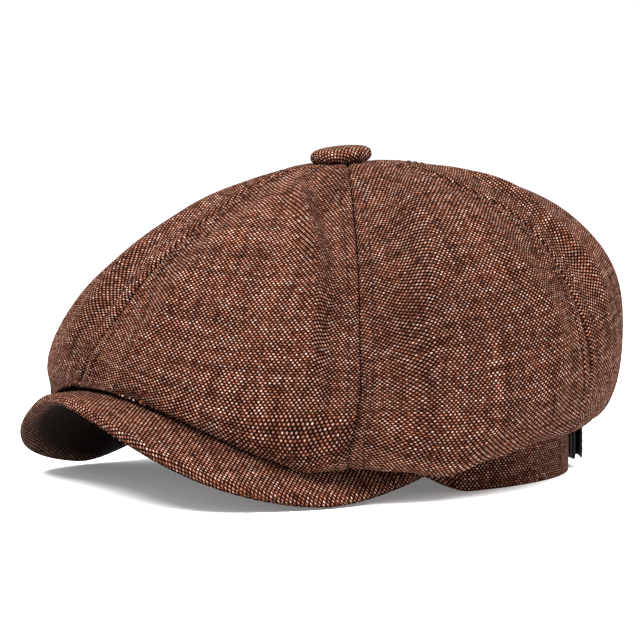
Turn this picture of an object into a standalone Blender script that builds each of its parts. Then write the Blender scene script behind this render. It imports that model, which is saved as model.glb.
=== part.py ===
"""Newsboy cap: a six-gore lined crown with a covered button, a head band, a stiff arched visor
and a rear adjuster strap with a sliding buckle.

Metres, +Z up. The cap rests on Z = 0 and faces -Y; the wearer's left is +X.
Angles around the head are measured from the front (-Y) towards the wearer's left (+X).
The origin is the centre of the footprint, so the button stands at Y = AXIS_Y.
"""
import math

import bmesh
import bpy
from mathutils import Matrix, Vector

MM = 0.001
GAP = 0.3 * MM                      # air between neighbouring pieces

# Crown, measured from the vertical axis through the button
CROWN_HEIGHT = 145.8 * MM           # apex of the crown before the dimple under the button
CROWN_SIDE = 120.0 * MM
CROWN_FRONT = 143.0 * MM
CROWN_BACK = 131.5 * MM
CROWN_THICK = 1.4 * MM
SHAPE_FRONT = 1.58                  # superellipse exponents of the dome, sloping at the front
SHAPE_BACK = 2.48                   # and full at the back
GORES = 6
PUFF = 2.4 * MM                     # how far a gore stands out between its seams
DIMPLE = 1.6 * MM
DIMPLE_RADIUS = 24.0 * MM
SEAM_GAP = 0.3 * MM
APEX_HOLE = 3.5 * MM
LINING_INSET = 2.1 * MM
LINING_THICK = 0.7 * MM

# Heights and reaches around the head, as (degrees from the front, value)
WIDEST_HEIGHT = ((0, 72 * MM), (40, 46 * MM), (90, 41 * MM), (140, 58 * MM), (180, 62 * MM))
FOLD_REACH = ((0, 0.93), (45, 0.90), (80, 0.87), (110, 0.90), (180, 0.91))
FOLD_BEHIND = ((60, 13 * MM), (82, 8.5 * MM), (94, 12 * MM), (108, 19.5 * MM),
               (130, 24 * MM), (180, 27 * MM))
FOLD_CLEARANCE = 1.9 * MM           # crown fold above the visor

# Head band
BAND_SIDE = 85.0 * MM
BAND_FRONT = 103.0 * MM
BAND_BACK = 113.0 * MM
BAND_HEIGHT = 27.0 * MM
BAND_THICK = 1.2 * MM
INTERLINING_THICK = 0.5 * MM
SWEATBAND_THICK = 0.8 * MM
BACK_OPENING = 13.0                 # half angle of the gap in the band at the back, degrees
LIFT_FRONT_Y = -32.0 * MM           # the band leaves the floor between these two stations
LIFT_BACK_Y = 12.0 * MM

# Visor
VISOR_REACH = 158.4 * MM
VISOR_HALF_WIDTH = 104.0 * MM
VISOR_SQUARENESS = 3.4
VISOR_RISE = 42.6 * MM              # height of the arch at its underside
ARCH_HALF_SPAN = 101.0 * MM
ARCH_POWER = 2.1
ARCH_SOFTNESS = 0.05
VISOR_END = 86.0                    # angle of the visor's root ends
VISOR_ROOT_GAP = 2.0 * MM
COVER_THICK = 0.8 * MM
BOARD_THICK = 1.5 * MM
FOAM_THICK = 0.6 * MM
VISOR_THICK = 2 * COVER_THICK + BOARD_THICK + FOAM_THICK + 3 * GAP
VISOR_COLUMNS = 24
VISOR_STATIONS = (0, 0.03, 0.27, 0.51, 0.75, 0.95, 0.97, 1)     # shares of the depth, root to rim

# Button
BUTTON_RADIUS = 14.2 * MM
BUTTON_HEIGHT = 7.0 * MM
BUTTON_FORWARD = 1.2 * MM
BUTTON_TILT = math.radians(3.0)

# Rear strap, on a circle about a vertical axis
STRAP_CENTRE_Y = BAND_BACK - 64.0 * MM
STRAP_INNER = 66.6 * MM
STRAP_THICK = 1.2 * MM
STRAP_LAYER_STEP = 3.4 * MM         # from the inner layer's inside to the outer layer's inside
STRAP_LOW = 5.0 * MM
STRAP_HIGH = 23.0 * MM
SLIDER_REST = -2.0                  # degrees from the back, towards the wearer's left

BACK_SEAM_SINK = 0.34 * MM           # the back seam lies this far inside CROWN_BACK
AXIS_Y = (VISOR_REACH - CROWN_BACK + BACK_SEAM_SINK) / 2


# ---------------------------------------------------------------- helpers
def clear_scene():
    for obj in list(bpy.data.objects):
        bpy.data.objects.remove(obj, do_unlink=True)


def mix(a, b, t):
    return a + (b - a) * t


def ease(t):
    t = min(max(t, 0.0), 1.0)
    return t * t * (3 - 2 * t)


def steps(low, high, count):
    return [mix(low, high, i / count) for i in range(count + 1)]


def around(knots, theta):
    """Smooth value at an angle, the same on both sides of the head."""
    angle = abs(math.degrees(math.remainder(theta, 2 * math.pi)))
    slopes = [(b[1] - a[1]) / (b[0] - a[0]) for a, b in zip(knots, knots[1:])]
    tangents = [0.0]
    for before, after in zip(slopes, slopes[1:]):
        same_way = before * after > 0
        tangents.append(2 * before * after / (before + after) if same_way else 0.0)
    tangents.append(0.0)
    if angle <= knots[0][0]:
        return knots[0][1]
    for i, (a, b) in enumerate(zip(knots, knots[1:])):
        if angle <= b[0]:
            width = b[0] - a[0]
            t = (angle - a[0]) / width
            return (a[1] * (1 + 2 * t) * (1 - t) ** 2 + b[1] * t * t * (3 - 2 * t)
                    + tangents[i] * width * t * (1 - t) ** 2
                    - tangents[i + 1] * width * t * t * (1 - t))
    return knots[-1][1]


def oval(theta, side, front, back):
    """Polar radius of an egg shape made of two half ellipses."""
    lengthwise = front if math.cos(theta) > 0 else back
    return 1 / math.hypot(math.sin(theta) / side, math.cos(theta) / lengthwise)


def place(theta, radius, height):
    return Vector((radius * math.sin(theta), AXIS_Y - radius * math.cos(theta), height))


def material(name, colour, roughness, metallic=0.0):
    found = bpy.data.materials.get(name)
    if found:
        return found
    made = bpy.data.materials.new(name)
    made.use_nodes = True
    shader = made.node_tree.nodes["Principled BSDF"]
    shader.inputs["Base Color"].default_value = (*colour, 1.0)
    shader.inputs["Roughness"].default_value = roughness
    shader.inputs["Metallic"].default_value = metallic
    made.diffuse_color = (*colour, 1.0)
    return made


def woven_cloth():
    return material("woven_cloth", (0.135, 0.058, 0.040), 0.85)


def lining_satin():
    return material("lining_satin", (0.035, 0.022, 0.018), 0.45)


def sweatband_twill():
    return material("sweatband_twill", (0.012, 0.011, 0.011), 0.8)


def stiffener_board():
    return material("stiffener_board", (0.70, 0.70, 0.68), 0.5)


def padding_foam():
    return material("padding_foam", (0.25, 0.25, 0.25), 0.95)


def black_webbing():
    return material("black_webbing", (0.010, 0.010, 0.011), 0.7)


def black_metal():
    return material("black_metal", (0.02, 0.02, 0.022), 0.3, 1.0)


def tinned_steel():
    return material("tinned_steel", (0.55, 0.55, 0.56), 0.35, 1.0)


def label_tape():
    return material("label_tape", (0.75, 0.74, 0.70), 0.7)


def add_mesh(name, build, finish, sharp_angle=math.radians(40)):
    """Object from a closed bmesh, with its faces turned outwards."""
    if build.calc_volume(signed=True) < 0:
        bmesh.ops.reverse_faces(build, faces=build.faces)
    mesh = bpy.data.meshes.new(name)
    build.to_mesh(mesh)
    build.free()
    mesh.materials.append(finish)
    mesh.shade_smooth()
    mesh.set_sharp_from_angle(angle=sharp_angle)
    obj = bpy.data.objects.new(name, mesh)
    bpy.context.scene.collection.objects.link(obj)
    return obj


def add_shell(name, outer, inner, finish):
    """Closed sheet between two grids of points with the same rows and columns."""
    build = bmesh.new()
    top = [[build.verts.new(p) for p in row] for row in outer]
    low = [[build.verts.new(p) for p in row] for row in inner]
    rows = len(outer)
    cols = len(outer[0])
    for i in range(rows - 1):
        for j in range(cols - 1):
            build.faces.new((top[i][j], top[i + 1][j], top[i + 1][j + 1], top[i][j + 1]))
            build.faces.new((low[i][j], low[i][j + 1], low[i + 1][j + 1], low[i + 1][j]))
    for i in range(rows - 1):
        build.faces.new((top[i][0], low[i][0], low[i + 1][0], top[i + 1][0]))
        build.faces.new((top[i][-1], top[i + 1][-1], low[i + 1][-1], low[i][-1]))
    for j in range(cols - 1):
        build.faces.new((top[0][j], top[0][j + 1], low[0][j + 1], low[0][j]))
        build.faces.new((top[-1][j], low[-1][j], low[-1][j + 1], top[-1][j + 1]))
    return add_mesh(name, build, finish)


def add_turned(name, profile, finish, segments=24):
    """Solid turned about the button's axis from a closed outline of (radius, height)."""
    build = bmesh.new()
    rings = []
    for radius, height in profile:
        if radius == 0:
            rings.append([build.verts.new((0, 0, height))] * segments)
            continue
        turn = 2 * math.pi / segments
        rings.append([build.verts.new((radius * math.cos(turn * i), radius * math.sin(turn * i), height))
                      for i in range(segments)])
    for ring, following in zip(rings, rings[1:] + rings[:1]):
        for i in range(segments):
            corners = [ring[i], ring[i - 1], following[i - 1], following[i]]
            distinct = list(dict.fromkeys(corners))
            if len(distinct) > 2:
                build.faces.new(distinct)
    return add_mesh(name, build, finish)


# ---------------------------------------------------------------- the cap's surfaces
def arch_height(x):
    """Underside of the visor's arch: level from root to rim, down to the floor at its sides."""
    def raised(span):
        share = 1 - (span / ARCH_HALF_SPAN) ** ARCH_POWER
        return (share + math.hypot(share, ARCH_SOFTNESS)) / 2
    span = min(abs(x), VISOR_HALF_WIDTH)
    low = raised(VISOR_HALF_WIDTH)
    return VISOR_RISE * (raised(span) - low) / (raised(0) - low)


def band_radius(theta):
    return oval(theta, BAND_SIDE, BAND_FRONT, BAND_BACK)


def band_bottom(theta):
    """The band's lower edge follows the visor's root and comes down to the floor behind it."""
    edge = place(theta, band_radius(theta), 0)
    lift = ease((LIFT_BACK_Y + AXIS_Y - edge.y) / (LIFT_BACK_Y - LIFT_FRONT_Y))
    return arch_height(edge.x) * lift


def band_top(theta):
    return band_bottom(theta) + BAND_HEIGHT


def fold_height(theta, reach):
    """Lowest line of the crown: it lies over the visor in front and droops beside the band."""
    over_visor = arch_height(reach * math.sin(theta)) + VISOR_THICK + FOLD_CLEARANCE
    behind = around(FOLD_BEHIND, theta)
    angle = abs(math.degrees(math.remainder(theta, 2 * math.pi)))
    return mix(over_visor, behind, ease((angle - 52) / 22))


DOME = 0.6                          # share of the crown's profile above its widest line
ROLL = 0.8                          # share above its lowest line


def crown_surface(theta, s):
    """Outside of the crown: s runs from the apex over the widest line and fold to the band."""
    reach = oval(theta, CROWN_SIDE, CROWN_FRONT, CROWN_BACK)
    widest = around(WIDEST_HEIGHT, theta)
    fold = reach * around(FOLD_REACH, theta)
    lowest = fold_height(theta, fold)
    if s <= DOME:
        shape = mix(SHAPE_FRONT, SHAPE_BACK, (1 - math.cos(theta)) / 2)
        share = math.sin(s / DOME * math.pi / 2)
        radius = reach * share
        height = widest + (CROWN_HEIGHT - widest) * max(1 - share ** shape, 0.0) ** (1 / shape)
        dip = max(1 - (radius / DIMPLE_RADIUS) ** 2, 0.0)
        height -= DIMPLE * dip * dip
    elif s <= ROLL:
        turn = (s - DOME) / (ROLL - DOME) * math.pi / 2
        radius = fold + (reach - fold) * math.cos(turn)
        height = widest - (widest - lowest) * math.sin(turn)
    else:
        turn = (s - ROLL) / (1 - ROLL) * math.pi / 2
        seat = band_radius(theta) + 2 * GAP
        radius = fold - (fold - seat) * math.sin(turn) ** 1.5
        height = lowest + (band_top(theta) - lowest) * (1 - max(math.cos(turn), 0.0) ** 1.5)
    fullness = abs(math.sin(GORES * theta / 2)) ** 0.8 * math.sin(math.pi * min(s / ROLL, 1.0)) ** 0.8
    return place(theta, radius + PUFF * (fullness - 0.5 * min(s / ROLL, 1.0) * (1 - s)), height)


def crown_point(theta, s, inset):
    """A point under the crown's outside, measured square to it."""
    nudge = 0.002
    outside = crown_surface(theta, s)
    across = crown_surface(theta + nudge, s) - crown_surface(theta - nudge, s)
    low = max(s - nudge, 0.01)
    high = min(s + nudge, 1.0)
    along = crown_surface(theta, high) - crown_surface(theta, low)
    return outside - along.cross(across).normalized() * inset


def visor_outline(theta):
    """Rim of the visor in plan: a broad squared oval that runs in to the band at its ends."""
    side = (abs(math.sin(theta)) / VISOR_HALF_WIDTH) ** VISOR_SQUARENESS
    ahead = (max(math.cos(theta), 0.0) / VISOR_REACH) ** VISOR_SQUARENESS
    rim = (side + ahead) ** (-1 / VISOR_SQUARENESS)
    end = band_radius(theta) + VISOR_ROOT_GAP + 4.5 * MM
    closing = min(max((abs(math.degrees(theta)) - 60) / (VISOR_END - 60), 0.0), 1.0)
    return mix(rim, end, closing ** 2)


def visor_point(theta, depth, height):
    """depth runs from the root to the rim; height is measured up from the arch's underside."""
    root = band_radius(theta) + VISOR_ROOT_GAP
    spot = place(theta, mix(root, visor_outline(theta), depth), 0)
    spot.z = arch_height(spot.x) + height
    return spot


# ---------------------------------------------------------------- crown and lining
def seam_edges(index, radius, gap):
    width = 2 * math.pi / GORES
    margin = gap / 2 / radius
    return index * width + margin, (index + 1) * width - margin


def profile_stations(upper, roll, under):
    first = DOME / (math.pi / 2) * math.asin(APEX_HOLE / CROWN_BACK)
    return (steps(first, DOME, upper) + steps(DOME, ROLL, roll)[1:] + steps(ROLL, 1.0, under)[1:])


def add_crown_panel(index):
    outer = []
    inner = []
    for s in profile_stations(9, 4, 4):
        radius = Vector(crown_surface(0.5, s).xy - Vector((0, AXIS_Y))).length
        start, end = seam_edges(index, radius, SEAM_GAP)
        angles = steps(start, end, 8)
        outer.append([crown_point(a, s, 0) for a in angles])
        inner.append([crown_point(a, s, CROWN_THICK) for a in angles])
    add_shell(f"crown_panel_{index + 1}", outer, inner, woven_cloth())


def lining_point(theta, s, inset):
    """The lining follows the dome, then runs straight in to the top of the band."""
    if s <= DOME:
        return crown_point(theta, s, inset)
    start = crown_point(theta, DOME, inset)
    height = band_top(theta) + 1.5 * MM + (inset - LINING_INSET) * 1.2
    seat = place(theta, band_radius(theta) - 1.0 * MM, height)
    share = (s - DOME) / (1 - DOME)
    belly = Vector((0, 0, 16 * MM * share * (1 - share)))
    return start.lerp(seat, share) + belly


def add_lining_panel(index):
    outer = []
    inner = []
    for s in profile_stations(9, 2, 2):
        radius = Vector(crown_surface(0.5, s).xy - Vector((0, AXIS_Y))).length
        start, end = seam_edges(index, radius, SEAM_GAP)
        angles = steps(start, end, 8)
        outer.append([lining_point(a, s, LINING_INSET) for a in angles])
        inner.append([lining_point(a, s, LINING_INSET + LINING_THICK) for a in angles])
    add_shell(f"lining_panel_{index + 1}", outer, inner, lining_satin())


# ---------------------------------------------------------------- band
def band_sheet(name, start, end, depth, thick, low, high, count, finish):
    """Upright strip round the head; depth is how far it lies inside the band's outside."""
    outer = []
    inner = []
    for degrees in steps(start, end, count):
        theta = math.radians(degrees)
        bottom = band_bottom(theta)
        heights = (bottom + low, bottom + high)
        radius = band_radius(theta) - depth
        outer.append([place(theta, radius, h) for h in heights])
        inner.append([place(theta, radius - thick, h) for h in heights])
    add_shell(name, outer, inner, finish)


def add_band():
    seam = 0.1                      # half of the front seam, degrees
    end = 180 - BACK_OPENING
    under = BAND_THICK + GAP
    for side, sign in (("left", 1), ("right", -1)):
        band_sheet(f"band_{side}", sign * seam, sign * end, 0, BAND_THICK, 0, BAND_HEIGHT - 0.6 * MM,
                   26, woven_cloth())
        band_sheet(f"band_interlining_{side}", sign * 1.0, sign * (end - 1), under, INTERLINING_THICK,
                   1.5 * MM, BAND_HEIGHT - 2.0 * MM, 26, stiffener_board())
    inside = under + INTERLINING_THICK + GAP
    band_sheet("sweatband", -end, end, inside, SWEATBAND_THICK, 0.8 * MM, BAND_HEIGHT - 1.5 * MM,
               52, sweatband_twill())
    band_sheet("back_elastic", end + 0.3, 360 - end - 0.3, inside, SWEATBAND_THICK, 0.8 * MM,
               BAND_HEIGHT - 1.5 * MM, 6, black_webbing())
    band_sheet("care_label", 118, 132, inside + SWEATBAND_THICK + GAP, 0.4 * MM, 9 * MM,
               BAND_HEIGHT - 3 * MM, 4, label_tape())


# ---------------------------------------------------------------- visor
def visor_sheet(name, low, high, finish, inner_layer=False, rim_low=None):
    """One layer of the visor. An inner layer stops short of the covers' edges; rim_low gives the
    turned-down edge of the top cover."""
    angles = steps(-VISOR_END, VISOR_END, VISOR_COLUMNS)
    depths = VISOR_STATIONS
    if inner_layer:
        angles = angles[1:-1]
        depths = depths[1:-2]
    outer = []
    inner = []
    for degrees in angles:
        theta = math.radians(degrees)
        outer.append([visor_point(theta, d, high) for d in depths])
        lows = [low if rim_low is None or d < VISOR_STATIONS[-2] else rim_low for d in depths]
        inner.append([visor_point(theta, d, l) for d, l in zip(depths, lows)])
    add_shell(name, outer, inner, finish)


def add_visor():
    board_low = COVER_THICK + GAP
    foam_low = board_low + BOARD_THICK + GAP
    top_low = foam_low + FOAM_THICK + GAP
    visor_sheet("visor_under_cover", 0, COVER_THICK, woven_cloth())
    visor_sheet("visor_board", board_low, board_low + BOARD_THICK, stiffener_board(), True)
    visor_sheet("visor_foam", foam_low, foam_low + FOAM_THICK, padding_foam(), True)
    visor_sheet("visor_top_cover", top_low, VISOR_THICK, woven_cloth(), False, COVER_THICK + GAP)


# ---------------------------------------------------------------- button
def add_button():
    """Covered button: cloth over a pressed shell, a back plate with a shank, and a washer inside."""
    r = BUTTON_RADIUS
    h = BUTTON_HEIGHT
    wrap = 0.8 * MM
    outside = [(0.70 * r, 0), (0.93 * r, 0.10 * h), (r, 0.40 * h), (0.955 * r, 0.68 * h),
               (0.78 * r, 0.88 * h), (0.42 * r, 0.975 * h), (0, h)]
    core = r - wrap
    inside = [(0, h - wrap), (0.42 * core, 0.975 * h - wrap), (0.78 * core, 0.88 * h - wrap),
              (0.955 * core, 0.66 * h - 0.5 * wrap), (core, 0.42 * h), (0.95 * core, 0.10 * h + wrap),
              (0.70 * r, wrap)]
    cover = add_turned("button_cover", outside + inside, woven_cloth())
    dome = core - GAP
    lid = h - wrap - GAP
    shell_out = [(0.90 * dome, 0.26 * h), (dome, 0.42 * h), (0.95 * dome, 0.60 * h), (0.76 * dome, 0.81 * lid),
                 (0.42 * dome, 0.965 * lid), (0, lid)]
    plate = 0.6 * MM
    shell_in = [(0, lid - plate), (0.42 * (dome - plate), 0.965 * lid - plate),
                (0.74 * (dome - plate), 0.81 * lid - plate), (0.93 * (dome - plate), 0.55 * h),
                (dome - plate, 0.42 * h), (0.84 * dome, 0.26 * h)]
    shell = add_turned("button_shell", shell_out + shell_in, tinned_steel())
    shank = 1.5 * MM
    disc = 0.70 * r - GAP
    reach = -7.4 * MM
    back = add_turned("button_back", [(0, 0.22 * h), (disc, 0.22 * h), (disc, 0.05 * h), (shank, 0.05 * h),
                                      (shank, reach), (0, reach)], tinned_steel(), 20)
    hole = shank + 0.7 * MM
    washer = add_turned("button_washer", [(hole, -5.8 * MM), (hole, -6.6 * MM), (6 * MM, -6.6 * MM),
                                          (6 * MM, -5.8 * MM)], tinned_steel(), 20)
    patch = add_turned("apex_patch", [(hole + GAP, -4.1 * MM), (hole + GAP, -4.8 * MM), (11 * MM, -6.3 * MM),
                                      (11 * MM, -5.6 * MM)], lining_satin(), 20)
    seat = CROWN_HEIGHT - DIMPLE + 0.7 * MM
    pose = Matrix.Translation((0, AXIS_Y - BUTTON_FORWARD, seat)) @ Matrix.Rotation(BUTTON_TILT, 4, "X")
    upright = Matrix.Translation((0, AXIS_Y - BUTTON_FORWARD, seat))
    for piece in (cover, shell, back):
        piece.matrix_world = pose
    for piece in (washer, patch):
        piece.matrix_world = upright


# ---------------------------------------------------------------- rear strap
def strap_spot(degrees, radius):
    """Plan position on the strap's circle; degrees from the back towards the wearer's left."""
    turn = math.radians(degrees)
    return Vector((radius * math.sin(turn), AXIS_Y + STRAP_CENTRE_Y + radius * math.cos(turn)))


def add_strip(name, path, thick, low, high, finish):
    """Webbing laid along a plan path; thick grows to the path's left."""
    outer = []
    inner = []
    for i, spot in enumerate(path):
        before = path[max(i - 1, 0)]
        after = path[min(i + 1, len(path) - 1)]
        run = (after - before).normalized()
        side = Vector((-run.y, run.x)) * thick / 2
        left = spot + side
        right = spot - side
        outer.append([Vector((left.x, left.y, low)), Vector((left.x, left.y, high))])
        inner.append([Vector((right.x, right.y, low)), Vector((right.x, right.y, high))])
    add_shell(name, outer, inner, finish)


def doubled_path(start, turn_at, end, pitch=3.0):
    """Inner layer from start to turn_at, round a bar, and the outer layer back to end."""
    first = STRAP_INNER + STRAP_THICK / 2
    second = first + STRAP_LAYER_STEP
    sign = 1 if turn_at > start else -1
    count = max(round(abs(turn_at - start) / pitch), 1)
    path = [strap_spot(a, first) for a in steps(start, turn_at, count)]
    centre = strap_spot(turn_at, (first + second) / 2)
    outwards = (strap_spot(turn_at, second) - centre)
    onwards = Vector((outwards.y, -outwards.x)) * sign
    for i in range(1, 6):
        bend = math.pi * i / 6
        path.append(centre - outwards * math.cos(bend) + onwards * math.sin(bend))
    count = max(round(abs(end - turn_at) / pitch), 1)
    return path + [strap_spot(a, second) for a in steps(turn_at, end, count)]


def add_ring(name, first_bar, last_bar, height, wire, finish):
    """Rectangular wire ring whose two upright bars stand in the bends of the strap and the tab."""
    middle = STRAP_INNER + STRAP_THICK / 2 + STRAP_LAYER_STEP / 2
    half = math.radians(last_bar - first_bar) / 2
    width = 2 * middle * math.sin(half)
    spot = strap_spot((first_bar + last_bar) / 2, middle * math.cos(half))
    turn = math.radians((first_bar + last_bar) / 2)
    along = Vector((math.cos(turn), -math.sin(turn), 0))
    outwards = Vector((math.sin(turn), math.cos(turn), 0))
    centre = Vector((spot.x, spot.y, (STRAP_LOW + STRAP_HIGH) / 2))
    corner = 1.2 * MM
    build = bmesh.new()
    rings = []
    for cx, cz, base in ((1, 1, 0), (-1, 1, 90), (-1, -1, 180), (1, -1, 270)):
        for bend in (0, 45, 90):
            way = math.radians(base + bend)
            pull = along * math.cos(way) + Vector((0, 0, math.sin(way)))
            hub = centre + along * cx * (width / 2 - corner) + Vector((0, 0, cz * (height / 2 - corner)))
            axis = hub + pull * corner
            rings.append([build.verts.new(axis + (pull * math.cos(a) + outwards * math.sin(a)) * wire)
                          for a in steps(0, 2 * math.pi, 8)[:-1]])
    for ring, following in zip(rings, rings[1:] + rings[:1]):
        for i in range(8):
            build.faces.new((ring[i], ring[i - 1], following[i - 1], following[i]))
    return add_mesh(name, build, finish)


def add_slider():
    """Three-bar slide: two bars over the strap's outer layer, one bar behind it, joined by rails."""
    outer_layer = STRAP_INNER + STRAP_LAYER_STEP
    low_rail = STRAP_LOW - 2.4 * MM
    high_rail = STRAP_HIGH + 2.4 * MM
    front = (outer_layer + STRAP_THICK + 2 * GAP, outer_layer + STRAP_THICK + 2 * GAP + 1.2 * MM)
    behind = (outer_layer - 2 * GAP - 1.0 * MM, outer_layer - 2 * GAP)
    half = 5.6                      # degrees
    bar = 1.6
    lip = 0.25                      # the rails stand this much proud of the bars, mm and degrees
    rail = (behind[0] - lip * MM, front[1] + lip * MM)
    sunk = 0.8 * MM                 # how far the bars run into the rails
    bar_low = low_rail + sunk
    bar_high = high_rail - sunk
    pieces = [(-half - lip, half + lip, rail, low_rail, STRAP_LOW - 0.6 * MM),
              (-half - lip, half + lip, rail, STRAP_HIGH + 0.6 * MM, high_rail),
              (-half, -half + 2 * bar, front, bar_low, bar_high),
              (half - 2 * bar, half, front, bar_low, bar_high),
              (-bar * 0.8, bar * 0.8, behind, bar_low, bar_high)]
    blocks = []
    for number, (start, end, radii, low, high) in enumerate(pieces):
        outer = []
        inner = []
        for a in steps(SLIDER_REST + start, SLIDER_REST + end, 4):
            far = strap_spot(a, radii[1])
            near = strap_spot(a, radii[0])
            outer.append([Vector((far.x, far.y, low)), Vector((far.x, far.y, high))])
            inner.append([Vector((near.x, near.y, low)), Vector((near.x, near.y, high))])
        blocks.append(add_shell(f"slider_block_{number}", outer, inner, black_metal()))
    slider = blocks[2]
    slider.name = "strap_slider"
    for block in blocks[:2] + blocks[3:]:
        join = slider.modifiers.new("join", "BOOLEAN")
        join.operation = "UNION"
        join.object = block
        block.hide_render = True
        block.display_type = "WIRE"
    return slider


def add_end_patch(name, start, end):
    """Folded end of the strap, filling the space between it and the band."""
    outer = []
    inner = []
    for a in steps(start, end, 4):
        far = strap_spot(a, STRAP_INNER - GAP)
        theta = math.atan2(far.x, AXIS_Y - far.y)
        near = place(theta, band_radius(theta) + 2 * GAP, 0)
        outer.append([Vector((far.x, far.y, h)) for h in (STRAP_LOW, STRAP_HIGH)])
        inner.append([Vector((near.x, near.y, h)) for h in (STRAP_LOW, STRAP_HIGH)])
    add_shell(name, outer, inner, black_webbing())


def add_strap():
    strap_bend = 17.5
    tab_bend = 25.5
    add_strip("adjuster_strap", doubled_path(-37, strap_bend, -20), STRAP_THICK, STRAP_LOW, STRAP_HIGH,
              black_webbing())
    add_strip("strap_tab", doubled_path(37, tab_bend, 36), STRAP_THICK, STRAP_LOW, STRAP_HIGH,
              black_webbing())
    add_ring("strap_loop", strap_bend, tab_bend, STRAP_HIGH - STRAP_LOW + 3.4 * MM, 0.7 * MM,
             black_metal())
    add_slider()
    add_end_patch("strap_end_left", 31, 37)
    add_end_patch("strap_end_right", -37, -31)


def main():
    clear_scene()
    for index in range(GORES):
        add_crown_panel(index)
        add_lining_panel(index)
    add_band()
    add_visor()
    add_button()
    add_strap()


main()
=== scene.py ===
"""The looks of the newsboy cap: coarse woven cloth, seams, topstitching, lining and adjuster.

Metres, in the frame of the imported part. Angles around the head run from the front (-Y) towards the
wearer's left (+X). The crown, visor and band use the part's surface formulas at a finer step, with some
sizes moved to follow the photo.
"""

import math

import bpy
import numpy as np
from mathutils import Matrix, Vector


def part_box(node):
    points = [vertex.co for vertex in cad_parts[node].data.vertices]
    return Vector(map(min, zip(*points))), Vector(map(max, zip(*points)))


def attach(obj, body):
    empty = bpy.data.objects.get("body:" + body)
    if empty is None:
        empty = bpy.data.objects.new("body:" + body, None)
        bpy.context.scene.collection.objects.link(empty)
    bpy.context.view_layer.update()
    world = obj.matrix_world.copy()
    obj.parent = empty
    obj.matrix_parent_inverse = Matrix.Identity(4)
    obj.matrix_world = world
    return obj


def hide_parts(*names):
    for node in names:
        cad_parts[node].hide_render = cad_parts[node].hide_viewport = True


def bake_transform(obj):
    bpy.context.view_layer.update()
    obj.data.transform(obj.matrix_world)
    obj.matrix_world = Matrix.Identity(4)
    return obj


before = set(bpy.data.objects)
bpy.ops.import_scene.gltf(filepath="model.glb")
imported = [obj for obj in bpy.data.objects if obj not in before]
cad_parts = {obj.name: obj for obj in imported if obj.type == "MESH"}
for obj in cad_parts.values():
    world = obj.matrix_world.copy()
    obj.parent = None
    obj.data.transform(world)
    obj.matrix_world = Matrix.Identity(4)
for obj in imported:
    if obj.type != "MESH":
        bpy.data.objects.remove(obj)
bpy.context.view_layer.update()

MM = 0.001
GAP = 0.3 * MM

# The crown, band and visor: the part's values, or near them where the photo asks for another shape
CROWN_HEIGHT = 145.8 * MM
CROWN_SIDE = 120.0 * MM
CROWN_FRONT = 140.5 * MM
CROWN_BACK = 131.5 * MM
SHAPE_FRONT = 1.62
SHAPE_BACK = 2.40
GORES = 6
PUFF = 2.4 * MM
DIMPLE = 1.6 * MM
DIMPLE_RADIUS = 24.0 * MM
APEX_HOLE = 3.5 * MM
WIDEST_HEIGHT = ((0, 62 * MM), (40, 40 * MM), (90, 41 * MM), (140, 64 * MM), (180, 66 * MM))
FOLD_REACH = ((0, 1.0), (45, 0.955), (80, 0.87), (110, 0.88), (180, 0.84))
FOLD_BEHIND = ((45, 20 * MM), (60, 16.5 * MM), (71, 12.8 * MM), (80, 9.9 * MM), (90, 15.6 * MM),
               (100, 19.6 * MM), (112, 22.2 * MM), (180, 27 * MM))
FOLD_CLEARANCE = 1.9 * MM
BAND_SIDE = 85.0 * MM
BAND_FRONT = 103.0 * MM
BAND_BACK = 113.0 * MM
BAND_HEIGHT = 27.0 * MM
BACK_OPENING = 13.0
LIFT_FRONT_Y = -32.0 * MM
LIFT_BACK_Y = 12.0 * MM
VISOR_REACH = 158.4 * MM
VISOR_HALF_WIDTH = 104.0 * MM
VISOR_SQUARENESS = 3.4
VISOR_RISE = 42.6 * MM
ARCH_HALF_SPAN = 101.0 * MM
ARCH_POWER = 2.1
ARCH_SOFTNESS = 0.05
VISOR_END = 86.0
VISOR_ROOT_GAP = 2.0 * MM
VISOR_THICK = 4.6 * MM
DOME = 0.6
ROLL = 0.8
STRAP_INNER = 66.6 * MM
STRAP_THICK = 1.2 * MM
STRAP_LAYER_STEP = 3.4 * MM
STRAP_LOW = 5.0 * MM
STRAP_HIGH = 23.0 * MM
SLIDER_REST = -2.0

button_low, button_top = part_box("button_cover")
BUTTON_RADIUS = (button_top.x - button_low.x) / 2
AXIS_Y = (VISOR_REACH - CROWN_BACK + 0.34 * MM) / 2
STRAP_CENTRE_Y = AXIS_Y + BAND_BACK - 64.0 * MM

FAR_DIP = 5.5 * MM                  # the visor's far side curls down by this beside its crest
FAR_LIFT = 12 * MM                  # the far end of the visor and band stands this far off the table
VISOR_TIP_WIDTH = 4.5 * MM
RIM_ROUND = 2.0 * MM
INSIDE_CROWN = (0, AXIS_Y, 40 * MM)

# Cloth
THREAD_PITCH = 1.12 * MM
CLOTH_THICK = 1.1 * MM
ALLOWANCE = 6.0 * MM                # turned seam allowance, topstitched at its edge
STITCH_LENGTH = 2.7 * MM
STITCH_GAP = 0.9 * MM
LINING_INSET = 13.0 * MM            # the lining hangs clear of the folds beside the crown's seams
LINING_THICK = 0.4 * MM


# ---------------- helpers
def mix(a, b, t):
    return a + (b - a) * t


def ease(t):
    t = np.clip(t, 0.0, 1.0)
    return t * t * (3 - 2 * t)


def hill(x, width):
    return np.exp(-(x / width) ** 2)


def around_zero(theta):
    return (theta + math.pi) % (2 * math.pi) - math.pi


def signed_degrees(theta):
    return np.degrees(around_zero(theta))


def degrees_off_front(theta):
    return np.abs(signed_degrees(theta))


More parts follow.
